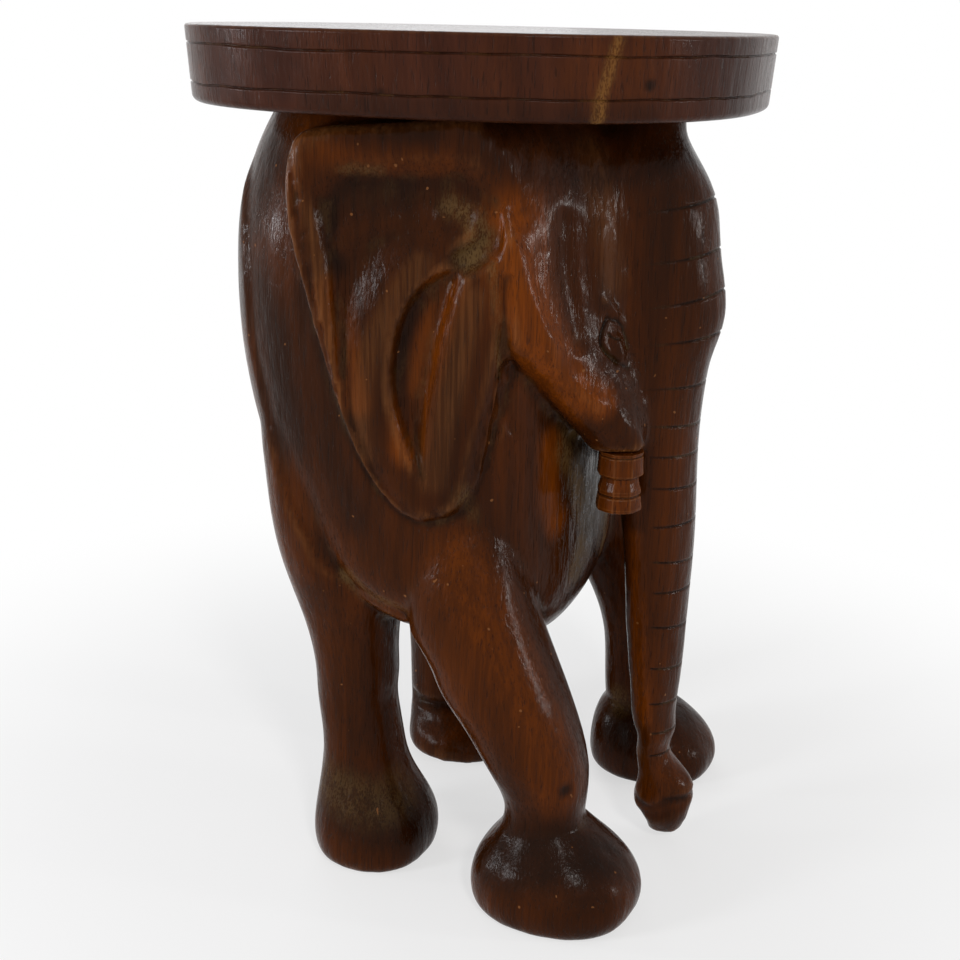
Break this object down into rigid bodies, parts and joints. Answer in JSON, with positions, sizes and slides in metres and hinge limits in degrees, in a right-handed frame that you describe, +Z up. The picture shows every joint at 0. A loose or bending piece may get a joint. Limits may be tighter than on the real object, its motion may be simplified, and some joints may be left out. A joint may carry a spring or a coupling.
{
  "type": "carved elephant stool",
  "caption": "Carved hardwood stool: a walking elephant with large flat ears and a ringed trunk carries a thick oval seat slab.",
  "frame": {"origin": "on the floor, under the middle of the seat", "axes": "+Z up, the elephant faces -Y, its right side is -X"},
  "size_m": [0.2838, 0.2858, 0.44],
  "materials": {
    "seat_wood": "dark reddish-brown lacquered hardwood, long vertical grain, one paler sapwood streak",
    "carving_wood": "dark reddish-brown lacquered hardwood, worn orange-brown on high faces, dusty in the crevices",
    "tusk_wood": "dark lacquered hardwood, knife-cut facets",
    "dowel_wood": "bare turned hardwood"
  },
  "bodies": {
    "root": {"seat_slab": "seat_wood", "elephant_carving": "carving_wood", "tusk_stub_right": "tusk_wood", "tusk_stub_left": "tusk_wood", "seat_dowel_front_right": "dowel_wood", "seat_dowel_front_left": "dowel_wood", "seat_dowel_rear_right": "dowel_wood", "seat_dowel_rear_left": "dowel_wood"}
  },
  "joints": []
}
